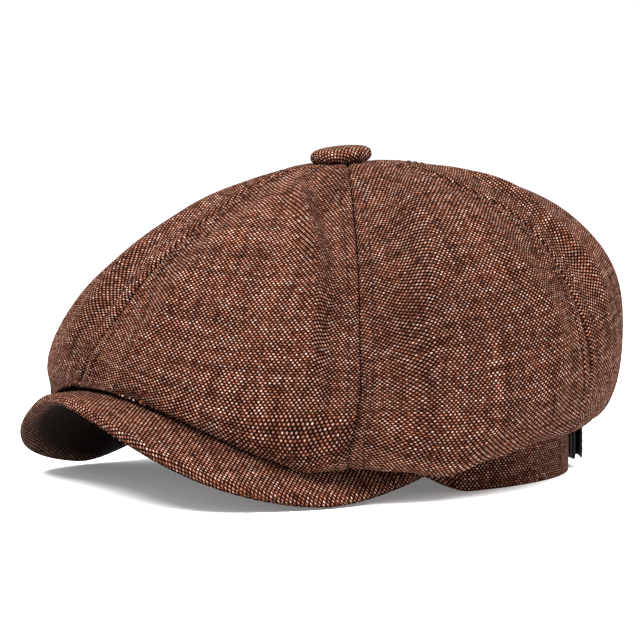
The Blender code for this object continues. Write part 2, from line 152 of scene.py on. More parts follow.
def around(knots, theta):
    """Smooth value at an angle, the same on both sides of the head."""
    angle = degrees_off_front(theta)
    slopes = [(b[1] - a[1]) / (b[0] - a[0]) for a, b in zip(knots, knots[1:])]
    tangents = [0.0]
    for before, after in zip(slopes, slopes[1:]):
        tangents.append(2 * before * after / (before + after) if before * after > 0 else 0.0)
    tangents.append(0.0)
    value = np.full_like(angle, knots[0][1])
    for i, (a, b) in enumerate(zip(knots, knots[1:])):
        width = b[0] - a[0]
        t = np.clip((angle - a[0]) / width, 0, 1)
        piece = (a[1] * (1 + 2 * t) * (1 - t) ** 2 + b[1] * t * t * (3 - 2 * t)
                 + tangents[i] * width * t * (1 - t) ** 2 - tangents[i + 1] * width * t * t * (1 - t))
        value = np.where(angle > a[0], piece, value)
    return value


def oval(theta, side, front, back):
    lengthwise = np.where(np.cos(theta) > 0, front, back)
    return 1 / np.hypot(np.sin(theta) / side, np.cos(theta) / lengthwise)


def grid_of(*coordinates):
    return np.stack(np.broadcast_arrays(*coordinates), -1)


def place(theta, radius, height):
    return grid_of(radius * np.sin(theta), AXIS_Y - radius * np.cos(theta), height)


def unit(v):
    return v / np.maximum(np.linalg.norm(v, axis=-1, keepdims=True), 1e-12)


def grid_normals(points, outwards_from):
    """Normals of a grid of points, turned away from a point inside."""
    normal = unit(np.cross(np.gradient(points, axis=0), np.gradient(points, axis=1)))
    middle = tuple(n // 2 for n in points.shape[:2])
    if np.dot(normal[middle], points[middle] - np.array(outwards_from)) < 0:
        normal = -normal
    return normal


# ---------------- the cap's surfaces
def arch_height(x):
    def raised(span):
        share = 1 - (span / ARCH_HALF_SPAN) ** ARCH_POWER
        return (share + np.hypot(share, ARCH_SOFTNESS)) / 2
    span = np.minimum(np.abs(x), VISOR_HALF_WIDTH)
    low = raised(VISOR_HALF_WIDTH)
    return VISOR_RISE * (raised(span) - low) / (raised(0.0) - low)


def band_radius(theta):
    return oval(theta, BAND_SIDE, BAND_FRONT, BAND_BACK)


def far_side_dip(theta):
    """The visor's far side curls down more beside its crest."""
    return FAR_DIP * hill(signed_degrees(theta) + 20, 19)


def far_side_lift(theta):
    """The far end of the visor stands a little off the table."""
    angle = signed_degrees(theta)
    return FAR_LIFT * ease((-angle - 48) / 22) * ease((128 + angle) / 40)


def band_bottom(theta):
    edge = place(theta, band_radius(theta), 0)
    lift = ease((LIFT_BACK_Y + AXIS_Y - edge[..., 1]) / (LIFT_BACK_Y - LIFT_FRONT_Y))
    return arch_height(edge[..., 0]) * lift + far_side_lift(theta)


def band_top(theta):
    return band_bottom(theta) + BAND_HEIGHT


def fold_height(theta, reach):
    over_visor = arch_height(reach * np.sin(theta)) + VISOR_THICK + FOLD_CLEARANCE
    height = mix(over_visor, around(FOLD_BEHIND, theta), ease((degrees_off_front(theta) - 44) / 16))
    return height - 0.6 * far_side_dip(theta) + far_side_lift(theta)


def crown_surface(theta, s, puff=PUFF, seams=None):
    """Outside of the crown: s runs from the apex over the widest line and fold to the band.
    seams are the angles that place the fullness between the seams, if they lean."""
    reach = oval(theta, CROWN_SIDE, CROWN_FRONT, CROWN_BACK)
    widest = around(WIDEST_HEIGHT, theta)
    fold = reach * around(FOLD_REACH, theta)
    lowest = fold_height(theta, fold)
    shape = mix(SHAPE_FRONT, SHAPE_BACK, (1 - np.cos(theta)) / 2)
    share = np.sin(np.clip(s / DOME, 0, 1) * math.pi / 2)
    dip = np.maximum(1 - (reach * share / DIMPLE_RADIUS) ** 2, 0)
    dome_height = (widest + (CROWN_HEIGHT - widest) * np.maximum(1 - share ** shape, 0) ** (1 / shape)
                   - DIMPLE * dip * dip)
    turn = np.clip((s - DOME) / (ROLL - DOME), 0, 1) * math.pi / 2
    roll_radius = fold + (reach - fold) * np.cos(turn)
    roll_height = widest - (widest - lowest) * np.sin(turn)
    under = np.clip((s - ROLL) / (1 - ROLL), 0, 1) * math.pi / 2
    seat = band_radius(theta) + 2 * GAP
    under_radius = fold - (fold - seat) * np.sin(under) ** 1.5
    under_height = lowest + (band_top(theta) - lowest) * (1 - np.maximum(np.cos(under), 0) ** 1.5)
    radius = np.where(s <= DOME, reach * share, np.where(s <= ROLL, roll_radius, under_radius))
    height = np.where(s <= DOME, dome_height, np.where(s <= ROLL, roll_height, under_height))
    along = np.minimum(s / ROLL, 1.0)
    seams = theta if seams is None else seams
    fullness = np.abs(np.sin(GORES * seams / 2)) ** 0.8 * np.sin(math.pi * along) ** 0.8
    return place(theta, radius + puff * (fullness - 0.5 * along * (1 - s)), height)


def visor_outline(theta):
    """Reach of the visor's rim, closing in on the band at its ends and a little shorter at its far side."""
    angle = np.degrees(theta)
    side = (np.abs(np.sin(theta)) / VISOR_HALF_WIDTH) ** VISOR_SQUARENESS
    ahead = (np.maximum(np.cos(theta), 0.0) / VISOR_REACH) ** VISOR_SQUARENESS
    rim = (side + ahead) ** (-1 / VISOR_SQUARENESS)
    end = band_radius(theta) + VISOR_ROOT_GAP + VISOR_TIP_WIDTH
    closing = np.clip((np.abs(angle) - 52) / 27, 0, 1)
    return mix(rim, end, closing ** 1.5) * (1 - 0.08 * hill(angle + 18, 18))


# ---------------- materials
class Graph:
    """Short names for a material's nodes."""

    def __init__(self, name, roughness=0.8, metallic=0.0):
        self.material = bpy.data.materials.new(name)
        self.material.use_nodes = True
        self.tree = self.material.node_tree
        self.shader = self.tree.nodes["Principled BSDF"]
        self.set("Roughness", roughness)
        self.set("Metallic", metallic)

    def put(self, socket, value):
        if isinstance(value, bpy.types.NodeSocket):
            self.tree.links.new(value, socket)
        else:
            socket.default_value = value

    def set(self, name, value):
        self.put(self.shader.inputs[name], value)

    def node(self, kind, inputs, **settings):
        """The outputs of a new node, whose inputs are given in order or by name."""
        node = self.tree.nodes.new("ShaderNode" + kind)
        for name, value in settings.items():
            setattr(node, name, value)
        for key, value in inputs.items() if isinstance(inputs, dict) else enumerate(inputs):
            self.put(node.inputs[key], value)
        return node.outputs

    def math(self, operation, a, b=0.0, c=0.0):
        return self.node("Math", (a, b, c), operation=operation)[0]

    def add(self, a, b):
        return self.math("ADD", a, b)

    def times(self, a, b):
        return self.math("MULTIPLY", a, b)

    def smooth(self, value, low, high):
        return self.node("MapRange", (value, low, high, 0.0, 1.0), interpolation_type="SMOOTHSTEP")[0]

    def combine(self, x, y, z=0.0):
        return self.node("CombineXYZ", (x, y, z))[0]

    def separate(self, vector):
        x, y, z = self.node("SeparateXYZ", (vector,))
        return x, y, z

    def flat(self):
        """Place on the flat cloth, in metres."""
        return self.node("UVMap", (), uv_map="flat")[0]

    def position(self):
        return self.node("TexCoord", ())["Object"]

    def noise(self, vector, scale, detail=2.0, roughness=0.5):
        return self.node("TexNoise", {"Vector": vector, "Scale": scale, "Detail": detail,
                                      "Roughness": roughness})[0]

    def grain(self, x, y, per_x, per_y, seed=0.0, detail=2.0, roughness=0.5):
        """Noise drawn out along one thread direction or the other."""
        spot = self.combine(self.times(x, per_x), self.times(y, per_y), seed)
        return self.noise(spot, 1.0, detail, roughness)

    def attribute(self, name):
        return self.node("Attribute", (), attribute_name=name)["Fac"]

    def random(self, vector):
        return self.node("TexWhiteNoise", {"Vector": vector}, noise_dimensions="2D")[0]

    def ramp(self, factor, stops):
        node = self.tree.nodes.new("ShaderNodeValToRGB")
        elements = node.color_ramp.elements
        while len(elements) < len(stops):
            elements.new(0.5)
        for element, (spot, colour) in zip(elements, stops):
            element.position = spot
            element.color = (*colour, 1.0)
        self.put(node.inputs[0], factor)
        return node.outputs[0]

    def blend(self, factor, a, b, kind="MIX"):
        a, b = ((*colour, 1.0) if isinstance(colour, tuple) else colour for colour in (a, b))
        return self.node("Mix", {0: factor, 6: a, 7: b}, data_type="RGBA", blend_type=kind)[2]

    def finished(self, colour, height, distance, strength):
        """The material, once its colour and relief are set."""
        self.set("Base Color", colour)
        self.set("Normal", self.node("Bump", {"Height": height, "Distance": distance,
                                              "Strength": strength})[0])
        return self.material


BLACK_YARN = ((0.25, (0.002, 0.0006, 0.0005)), (0.50, (0.008, 0.002, 0.0015)),
              (0.62, (0.030, 0.008, 0.004)), (0.78, (0.085, 0.026, 0.013)))
TAN_YARN = ((0.22, (0.045, 0.012, 0.006)), (0.38, (0.14, 0.046, 0.024)), (0.48, (0.24, 0.092, 0.052)),
            (0.58, (0.33, 0.168, 0.118)), (0.76, (0.48, 0.335, 0.28)))
# Painted shade: the near-black colour put in the gaps between threads.
SHADE_BETWEEN_THREADS = (0.006, 0.0012, 0.0008)


def plain_weave(g, pitch, slack):
    """Over-and-under threads: which thread is on top, how high it stands, and each thread's number."""
    u, v, _ = g.separate(g.flat())
    drift_u = g.times(g.add(g.noise(g.flat(), 45.0, 1.0), -0.5), slack)
    drift_v = g.times(g.add(g.noise(g.combine(v, u, 0.37), 45.0, 1.0), -0.5), slack)
    x = g.add(g.times(u, 1 / pitch), drift_u)
    y = g.add(g.times(v, 1 / pitch), drift_v)
    column = g.math("FLOOR", x)
    row = g.math("FLOOR", y)
    fx = g.add(g.math("SUBTRACT", x, column), -0.5)
    fy = g.add(g.math("SUBTRACT", y, row), -0.5)
    parity = g.math("FLOORED_MODULO", g.add(column, row), 2.0)
    sign = g.math("MULTIPLY_ADD", parity, 2.0, -1.0)

    def thread(across, along, way, slender):
        flank = g.math("POWER", g.times(g.math("ABSOLUTE", across), slender), 2.0)
        wave = g.times(way, g.math("COSINE", g.times(along, math.pi)))
        return g.times(g.add(g.math("SUBTRACT", 1.0, flank), wave), 0.5)

    upright = thread(fx, fy, sign, 2.2)
    level = thread(fy, fx, g.times(sign, -1.0), 2.75)
    top = g.math("MAXIMUM", upright, level)
    level_shows = g.smooth(g.math("SUBTRACT", level, upright), -0.06, 0.06)
    return x, y, column, row, top, level_shows


def woven_cloth(name, brightness=1.0, painted_shade_depth=0.22):
    """Near-black warp crossed by mottled tan and rust weft, with streaks along both, loose fibre, painted
    shade in the gaps between threads, and painted shade where the "fold" attribute holds it; a brightness
    below 1 makes a darker copy of the cloth as painted shadow."""
    g = Graph(name, 0.82)
    x, y, column, row, top, level_shows = plain_weave(g, THREAD_PITCH, 0.9)
    speckle = g.random(g.combine(column, row))
    warp_tone = g.grain(column, y, 3.71, 0.21, 1.7, 2.0, 0.6)
    weft_tone = g.grain(x, row, 0.30, 4.37, 8.3, 2.5, 0.65)
    weft_tone = g.math("MULTIPLY_ADD", g.add(speckle, -0.5), 0.11, weft_tone)
    colour = g.blend(level_shows, g.ramp(warp_tone, BLACK_YARN), g.ramp(weft_tone, TAN_YARN))
    # Painted shade: the cloth turns to the near-black gap colour where the threads sink between each other.
    shade = g.smooth(top, 0.22, 0.95)
    colour = g.blend(g.math("SUBTRACT", 1.0, shade), colour, SHADE_BETWEEN_THREADS)
    patches = g.grain(x, y, 0.02, 0.02, 4.4)
    bars = g.grain(x, y, 0.015, 0.36, 6.1, 1.0)
    stripes = g.grain(x, y, 0.36, 0.015, 2.9, 1.0)
    streaks = g.add(g.times(g.add(bars, stripes), 1.3), g.times(patches, 0.6))
    tone = g.add(streaks, -0.6)
    # Painted shade: darker cloth where the "fold" attribute holds it, in folds, seam grooves and under the
    # visor.
    tone = g.times(tone, g.math("MULTIPLY_ADD", g.attribute("fold"), -painted_shade_depth, 1.0))
    # A brightness below 1 darkens the whole cloth as painted shadow.
    tone = g.times(tone, brightness)
    colour = g.blend(1.0, colour, g.combine(tone, tone, tone), "MULTIPLY")
    height = g.add(g.times(top, 0.85), g.times(g.grain(x, y, 9.0, 9.0), 0.22))
    g.set("Specular IOR Level", 0.02)
    return g.finished(colour, height, 0.55 * MM, 0.9)


def satin(name):
    g = Graph(name, 0.42)
    x, y, _ = g.separate(g.flat())
    thread = g.grain(x, y, 900.0, 5200.0)
    soft = g.noise(g.flat(), 26.0, 3.0)
    g.set("Roughness", g.math("MULTIPLY_ADD", thread, 0.3, 0.3))
    g.set("Anisotropic", 0.5)
    colour = g.blend(soft, (0.010, 0.009, 0.009), (0.024, 0.020, 0.019))
    return g.finished(colour, g.add(g.times(thread, 0.2), soft), 0.5 * MM, 0.5)


def twill(name, dark=(0.007, 0.006, 0.006), light=(0.026, 0.024, 0.023), pitch=0.7 * MM):
    """Fine diagonal rib for the sweatband and the label."""
    g = Graph(name, 0.85)
    u, v, _ = g.separate(g.flat())
    rib = g.math("SINE", g.times(g.add(u, v), 2 * math.pi / (pitch * 1.6)))
    weft = g.math("SINE", g.times(v, 2 * math.pi / (pitch * 0.7)))
    height = g.add(g.times(rib, 0.5), g.times(weft, 0.22))
    worn = g.noise(g.flat(), 60.0, 3.0)
    g.set("Sheen Weight", 0.15)
    return g.finished(g.blend(g.smooth(g.add(height, worn), -0.3, 1.3), dark, light), height, 0.12 * MM, 0.7)


def webbing(name, rib=1.25 * MM):
    """Black ribbed tape: ribs along it, with small herringbone picks across."""
    g = Graph(name, 0.6)
    u, v, _ = g.separate(g.flat())
    ribs = g.math("SINE", g.times(v, 2 * math.pi / rib))
    lean = g.times(g.math("ABSOLUTE", g.math("PINGPONG", v, rib)), 0.8)
    picks = g.math("SINE", g.times(g.add(u, lean), 2 * math.pi / (0.75 * MM)))
    height = g.add(g.times(ribs, 0.6), g.times(picks, 0.35))
    fuzz = g.noise(g.flat(), 240.0, 3.0)
    shade = g.smooth(g.add(height, fuzz), -0.4, 1.6)
    g.set("Specular IOR Level", 0.2)
    return g.finished(g.blend(shade, (0.002, 0.002, 0.0025), (0.011, 0.0105, 0.011)), height, 0.09 * MM, 0.8)


def lacquered_metal(name, colour, roughness, worn_colour):
    g = Graph(name, roughness, 1.0)
    marks = g.noise(g.position(), 420.0, 4.0, 0.6)
    g.set("Roughness", g.math("MULTIPLY_ADD", marks, 0.28, roughness - 0.12))
    return g.finished(g.blend(g.smooth(marks, 0.52, 0.72), colour, worn_colour), marks, 0.03 * MM, 0.5)


def fibrous(name, dark, light, scale, roughness=0.9, depth=0.15 * MM):
    """Board, foam, patch and other plain inner materials."""
    g = Graph(name, roughness)
    grain = g.noise(g.position(), scale, 5.0, 0.65)
    return g.finished(g.blend(grain, dark, light), grain, depth, 0.8)


def sewing_thread(name, colour):
    g = Graph(name, 0.55)
    twist = g.noise(g.position(), 1500.0, 2.0)
    g.set("Specular IOR Level", 0.08)
    lighter = tuple(min(c * 2.4, 1.0) for c in colour)
    return g.finished(g.blend(twist, colour, lighter), twist, 0.05 * MM, 0.8)


# ---------------- meshes
def linked(name, data):
    piece = bpy.data.objects.new(name, data)
    bpy.context.scene.collection.objects.link(piece)
    return piece


def new_object(name, mesh, finish):
    mesh.materials.append(finish)
    mesh.shade_smooth()
    return linked(name, mesh)


def quads(rows, cols, start=0, wrap=False, flip=False):
    i, j = np.meshgrid(np.arange(rows - 1), np.arange(cols if wrap else cols - 1), indexing="ij")
    k = (j + 1) % cols
    faces = np.stack([i * cols + j, (i + 1) * cols + j, (i + 1) * cols + k, i * cols + k], -1)
    faces = faces.reshape(-1, 4) + start
    return faces[:, ::-1] if flip else faces


def rim_quads(rows, cols, start, wrap):
    """Faces that join the border of a grid to the border of its copy."""
    top = np.arange(rows * cols).reshape(rows, cols)
    around_grid = np.concatenate([top[0, :-1], top[:-1, -1], top[-1, :0:-1], top[:0:-1, 0]])
    rings = (top[0], top[-1, ::-1]) if wrap else (around_grid,)
    return np.concatenate([np.stack([ring, np.roll(ring, -1), np.roll(ring, -1) + start, ring + start], -1)
                           for ring in rings])


def mesh_of(name, points, faces, flat=None):
    """A mesh; flat holds each point's place on the flat cloth, which becomes its UVs."""
    mesh = bpy.data.meshes.new(name)
    mesh.from_pydata(points.reshape(-1, 3).tolist(), [], faces)
    if flat is not None:
        layer = mesh.uv_layers.new(name="flat")
        loops = np.zeros(len(mesh.loops), np.int32)
        mesh.loops.foreach_get("vertex_index", loops)
        layer.data.foreach_set("uv", flat.reshape(-1, 2)[loops].astype(np.float32).ravel())
    mesh.validate()
    return mesh


def turned_out(faces, points):
    """The same faces, all the other way round if they enclose a negative volume."""
    a, b, c = (points[faces[:, k]] for k in range(3))
    d = points[faces[:, 3]]
    volume = (a * np.cross(b, c)).sum() + (a * np.cross(c, d)).sum()
    return faces if volume > 0 else faces[:, ::-1]


def add_shell(name, outer, inner, flat, finish, wrap=False):
    """Closed cloth between two grids of points, whose columns may close round an axis."""
    rows, cols = outer.shape[:2]
    count = rows * cols
    points = np.concatenate([outer.reshape(-1, 3), inner.reshape(-1, 3)])
    faces = np.concatenate([quads(rows, cols, 0, wrap), quads(rows, cols, count, wrap, flip=True),
                            rim_quads(rows, cols, count, wrap)])
    faces = turned_out(faces, points - points.mean(0))
    uv = np.concatenate([flat.reshape(-1, 2)] * 2)
    return new_object(name, mesh_of(name, points, faces.tolist(), uv), finish)


def add_tube(name, rings, finish, flat=None, closed_path=False):
    """Skin over a row of closed outlines, with end caps unless the path is closed."""
    rows, cols = rings.shape[:2]
    faces = quads(rows, cols, wrap=True).tolist()
    first = np.arange(cols)
    last = first + (rows - 1) * cols
    if closed_path:
        faces += np.stack([last, first, np.roll(first, -1), np.roll(last, -1)], -1).tolist()
    else:
        faces += [first.tolist(), last[::-1].tolist()]
    flat = np.zeros((rows, cols, 2)) if flat is None else flat
    mesh = mesh_of(name, rings, faces, flat)
    make_outward(mesh)
    return new_object(name, mesh, finish)


def make_outward(mesh):
    """Turns every face if the mesh encloses a negative volume."""
    mesh.calc_loop_triangles()
    points = np.array([v.co for v in mesh.vertices])
    triangles = np.array([t.vertices for t in mesh.loop_triangles])
    a, b, c = (points[triangles[:, k]] for k in range(3))
    if (a * np.cross(b, c)).sum() < 0:
        mesh.flip_normals()


def arc_lengths(points):
    """Distance along the first axis of a row of points."""
    step = np.linalg.norm(np.diff(points, axis=0), axis=-1)
    return np.concatenate([[0.0], np.cumsum(step)])


def stitch_meshes(runs, radius, sides=6, rings=6):
    """Points and faces of short thread stitches along runs of (points, normals)."""
    bow = np.sin(np.linspace(0, math.pi, rings))[:, None]
    thick = radius * (0.55 + 0.45 * bow)[..., None]
    turn = (np.arange(sides) * 2 * math.pi / sides)[None, :, None]
    points = []
    faces = []
    count = 0
    for line, normals in runs:
        length = arc_lengths(line)
        for start in np.arange(STITCH_GAP, length[-1] - STITCH_LENGTH, STITCH_LENGTH + STITCH_GAP):
            at = start + np.linspace(0, 1, rings) * STITCH_LENGTH
            middle, normal = (np.stack([np.interp(at, length, rows[:, k]) for k in range(3)], -1)
                              for rows in (line, normals))
            normal = unit(normal)
            side = unit(np.cross(unit(np.gradient(middle, axis=0)), normal))
            middle = middle + normal * ((bow * 1.15 - 0.55) * radius)
            ring = (middle[:, None] + side[:, None] * (np.cos(turn) * thick)
                    + normal[:, None] * (np.sin(turn) * thick))
            points.append(ring.reshape(-1, 3))
            faces.extend(quads(rings, sides, count, wrap=True).tolist())
            faces.append(list(range(count, count + sides))[::-1])
            faces.append(list(range(count + (rings - 1) * sides, count + rings * sides)))
            count += rings * sides
    return np.concatenate(points), faces


def add_stitches(name, runs, finish, radius=0.27 * MM):
    mesh = mesh_of(name, *stitch_meshes(runs, radius))
    make_outward(mesh)
    return new_object(name, mesh, finish)


# ---------------- how pieces join the frame
def stands_for(nodes):
    if nodes:
        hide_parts(*nodes)


def bends(piece, slot, *nodes):
    """A piece at the front of the cap: hides the CAD nodes it stands for and bakes its transform into its
    mesh.
    """
    stands_for(nodes)
    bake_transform(piece)


def rides(piece, body, slot, *nodes):
    stands_for(nodes)
    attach(piece, body)


def join_gore(piece, index, slot, node):
    """The two front gores are baked in place, and the others ride on the cap."""
    if index in (0, GORES - 1):
        bends(piece, slot, node)
    else:
        rides(piece, "cap", slot, node)


def lay_flat(piece, flat, held, *rests_on):
    """Finds the lowest and highest UVs of a grid on the flat cloth, and does nothing more with them."""
    low, high = (edge(flat.reshape(-1, 2), 0) for edge in (np.min, np.max))


# ---------------- crown
EDGE_COLUMNS = (0.05, 0.35, 0.8, 1.4, 2.2, 3.2, 4.4, 5.2, 5.7, 6.0, 6.3, 6.9, 7.9, 9.4, 11.4)
EDGE_SCALE_HALF = 26.0 * MM         # a gore narrower than this has its edge columns drawn together
DOME_ROWS = 104
ROLL_ROWS = 34
UNDER_ROWS = 22
MIDDLE_COLUMNS = 42
STITCHED_COLUMN = EDGE_COLUMNS.index(6.0)
STITCHED_ROWS = slice(14, DOME_ROWS + ROLL_ROWS + 4)

# Folds beside the seams: seam number, side, then depth, distance out and steepness in mm, then where the
# fold starts and ends. The depth also sets how dark the fold's painted shade is.
SEAM_FOLDS = (
    (0, -1, 3.2, 20, 12, 0.10, 0.62), (0, 1, 3.4, 24, 13, 0.10, 0.60),
    (1, -1, 8.8, 23, 9, 0.05, 0.62), (1, 1, 8.0, 33, 18, 0.05, 0.68),
    (2, -1, 3.4, 25, 14, 0.08, 0.60), (2, 1, 3.2, 22, 12, 0.10, 0.58),
    (3, -1, 2.4, 24, 14, 0.10, 0.62), (3, 1, 1.8, 20, 11, 0.08, 0.50),
    (4, -1, 2.2, 22, 12, 0.08, 0.56), (4, 1, 2.4, 26, 15, 0.10, 0.60),
    (5, -1, 2.6, 24, 13, 0.07, 0.58), (5, 1, 2.4, 21, 10, 0.06, 0.54),
)


def gore_rows():
    first = DOME / (math.pi / 2) * math.asin(APEX_HOLE / CROWN_BACK)
    return np.concatenate([np.linspace(first, DOME, DOME_ROWS + 1),
                           np.linspace(DOME, ROLL, ROLL_ROWS + 1)[1:],
                           np.linspace(ROLL, 1.0, UNDER_ROWS + 1)[1:]])


def plan_radius(points):
    return np.hypot(points[..., 0], points[..., 1] - AXIS_Y)


def gore_layout(index):
    """Angles of a gore's grid, and each point's distance from the gore's two seams."""
    s = gore_rows()
    centre = (index + 0.5) * 2 * math.pi / GORES
    spine = crown_surface(np.full_like(s, centre), s)
    radius = plan_radius(spine)
    half = radius * math.pi / GORES
    scale = np.minimum(half / EDGE_SCALE_HALF, 1.0)
    edge = np.array(EDGE_COLUMNS) * MM
    left = -half[:, None] + edge[None, :] * scale[:, None]
    inner = half - edge[-1] * scale
    middle = np.linspace(-1, 1, MIDDLE_COLUMNS + 2)[None, 1:-1] * inner[:, None]
    across = np.concatenate([left, middle, -left[:, ::-1]], 1)
    theta = centre + across / radius[:, None]
    return s, theta, across, half, spine, radius


def seam_relief(distance, along):
    """Height change beside a seam: the groove, the doubled allowance and its stitched edge."""
    fade = ease((along - 0.02) / 0.06)
    groove = -1.25 * MM * hill(distance, 0.75 * MM) - 0.35 * MM * hill(distance, 2.2 * MM)
    doubled = 0.42 * MM * (1 - ease((distance - ALLOWANCE + 0.9 * MM) / (1.6 * MM)))
    pulled = -0.38 * MM * hill(distance - ALLOWANCE, 0.75 * MM)
    return groove + (doubled + pulled) * fade


def seam_fold(distance, along, depth, out, steep, start, end):
    """A broad dip from the seam out to a fold, where the cloth turns back up; and the painted shade that
    darkens the fold's steep side and its valley."""
    span = ease((along - start) / 0.14) * (1 - ease((along - end + 0.16) / 0.2))
    wander = 2.2 * MM * np.sin(along * 19 + out * 900)
    near = 1 - ease((distance - (out - steep) + wander) / steep)
    ridge = 0.30 * hill(distance - out + wander, steep * 0.55)
    flank = hill(distance - out + steep * 0.45 + wander, steep * 0.6)
    floor = 1 - ease((distance - out + steep) / steep)
    # The second value is painted shade: darker cloth on the fold's steep side and in its valley.
    return depth * span * (ridge - near), depth / (9 * MM) * span * (0.85 * flank + 0.25 * floor)


def seam_shade(distance, along):
    """Painted shade in lines along a seam: in its groove, at the stitched edge of the allowance and between
    them.
    """
    lines = 0.5 * hill(distance - ALLOWANCE, 0.7 * MM) + 0.35 * hill(distance - 3.2 * MM, 0.6 * MM)
    fade = ease((along - 0.04) / 0.08) * (1 - ease((along - 0.75) / 0.1))
    return (lines + 0.6 * hill(distance, 0.9 * MM)) * fade


def cloth_ripple(theta, along, strength):
    """Slow unevenness of soft cloth: a few long waves that don't repeat."""
    wave = (np.sin(theta * 5.3 + along * 7.1 + 0.7) * np.sin(along * 11.7 + theta * 2.1)
            + 0.6 * np.sin(theta * 11.9 - along * 9.3 + 2.1) * np.sin(along * 17.3 + 0.4)
            + 0.35 * np.sin(theta * 23.7 + along * 21.0 + 1.3))
    return strength * wave * ease((along - 0.06) / 0.2)


def low_puckers(theta, along):
    """Short upright puckers where the full crown is drawn in above the fold."""
    zone = hill(along - 0.70, 0.09)
    wave = np.sin(theta * 31 + 2.0 * np.sin(theta * 7)) * (0.6 + 0.4 * np.sin(theta * 13 + 1.0))
    return 0.55 * MM * zone * wave


def seam_lean(theta, along):
    """The front seam hangs a little to the wearer's left, and the next one forward at its foot."""
    front = 0.11 * hill(around_zero(theta), 0.62) * ease(along / 0.34) * (1 - ease((along - 0.42) / 0.36))
    return front - 0.05 * hill(theta - math.radians(60), 0.36) * ease((along - 0.5) / 0.22)


def crown_skin(index):
    """Grid of a gore's outside with its folds and seams, its normals, flat pattern and painted fold shade.
    """
    s, theta, across, half, spine, radius = gore_layout(index)
    along = np.broadcast_to(s[:, None], theta.shape)
    leaning = theta + seam_lean(theta, along)
    base = crown_surface(leaning, along, seams=theta)
    normal = grid_normals(crown_surface(leaning, along, 0.0), INSIDE_CROWN)
    left = half[:, None] + across
    right = half[:, None] - across
    relief = seam_relief(np.minimum(left, right), along)
    shade = seam_shade(np.minimum(left, right), along)
    beside = {(index, 1): left, ((index + 1) % GORES, -1): right}
    # closed is painted shade: darker cloth on a fold's steep side and in its valley.
    for seam, side, depth, out, steep, start, end in SEAM_FOLDS:
        if (seam, side) in beside:
            dip, closed = seam_fold(beside[seam, side], along, depth * MM, out * MM, steep * MM, start, end)
            relief = relief + dip
            shade = shade + closed
    relief = relief + cloth_ripple(theta, along, 0.7 * MM) + low_puckers(theta, along)
    relief = relief * (1 - 0.85 * ease((along - 0.78) / 0.1))
    skin = base + normal * relief[..., None]
    flat = gore_pattern(across, spine, radius, index)
    return skin, grid_normals(skin, INSIDE_CROWN), flat, np.clip(shade, 0, 1)


def gore_pattern(across, spine, radius, index):
    """Flat pattern of a gore: its rows are arcs where the surface is a cone, straight at the widest."""
    down = arc_lengths(spine)
    spread = np.gradient(radius, down)
    kernel = np.hanning(15)
    spread = np.convolve(np.pad(spread, 7, mode="edge"), kernel / kernel.sum(), "valid")
    bend = across * (spread / np.maximum(radius, 4 * MM))[:, None]
    u = across * np.sinc(bend / math.pi)
    v = down[:, None] - across * bend / 2 * np.sinc(bend / (2 * math.pi)) ** 2
    return np.stack([u + 0.31 * index + 0.2, v + 0.17 * index], -1)


def add_painted_shade(piece, shade):
    """Stores the painted shade, how much darker the cloth is drawn, at each point of a shell's grid."""
    folds = piece.data.attributes.new("fold", "FLOAT", "POINT")
    folds.data.foreach_set("value", np.tile(shade.ravel(), 2).astype(np.float32))


def add_crown(cloth, thread):
    runs = []
    for index in range(GORES):
        skin, normal, flat, shade = crown_skin(index)
        piece = add_shell(f"crown_gore_{index + 1}", skin, skin - normal * CLOTH_THICK, flat, cloth)
        add_painted_shade(piece, shade)
        join_gore(piece, index, "woven_cloth", f"crown_panel_{index + 1}")
        lay_flat(piece, flat, "draped", f"lining_gore_{index + 1}")
        for column in (STITCHED_COLUMN, skin.shape[1] - 1 - STITCHED_COLUMN):
            runs.append((skin[STITCHED_ROWS, column], normal[STITCHED_ROWS, column]))
    bends(add_stitches("crown_topstitching", runs, thread), "woven_cloth")


# ---------------- lining
def lining_skin(index, inset):
    """Grid of a lining gore and its flat pattern: inside the dome, then down to the band."""
    s = np.concatenate([np.linspace(0.03, DOME, 36), np.linspace(DOME, 1.0, 16)[1:]])
    columns = 34
    width = 2 * math.pi / GORES
    theta = np.linspace(index * width + 0.002, (index + 1) * width - 0.002, columns)
    theta, along = np.broadcast_arrays(theta[None, :], s[:, None])
    smooth_dome = crown_surface(theta, np.minimum(along, DOME - 0.001) + 0.0005 * along)
    start = crown_surface(theta, np.minimum(along, DOME)) - grid_normals(smooth_dome, INSIDE_CROWN) * inset
    share = np.clip((along - DOME) / (1 - DOME), 0, 1)
    height = band_top(theta) + 1.5 * MM + (inset - LINING_INSET) * 1.2
    seat = place(theta, band_radius(theta) - 1.0 * MM, height)
    points = mix(start, seat, share[..., None])
    points[..., 2] += 16 * MM * share * (1 - share)
    seam = np.minimum(theta - index * width, (index + 1) * width - theta) * plan_radius(points)
    tuck = 1.3 * MM * hill(seam, 4 * MM) * ease(along / 0.1)
    points = points - unit(points - np.array(INSIDE_CROWN)) * tuck[..., None]
    across = (theta - (index + 0.5) * width) * plan_radius(points)
    return points, grid_of(across, arc_lengths(points[:, columns // 2])[:, None])


def add_lining(finish):
    for index in range(GORES):
        outer, flat = lining_skin(index, LINING_INSET)
        inner, _ = lining_skin(index, LINING_INSET + LINING_THICK)
        piece = add_shell(f"lining_gore_{index + 1}", outer, inner, flat, finish)
        join_gore(piece, index, "lining", f"lining_panel_{index + 1}")
        lay_flat(piece, flat, "hung", f"crown_gore_{index + 1}")


# ---------------- band
STITCHED_POINT = 18                 # the deepest point of the band's section, in its folded edge
INSIDE_POINTS = 11                  # the last points of the section, where the edge is turned in
SWEATBAND_DEPTH = 2.3 * MM
TAPE_TOP = BAND_HEIGHT - 1.5 * MM


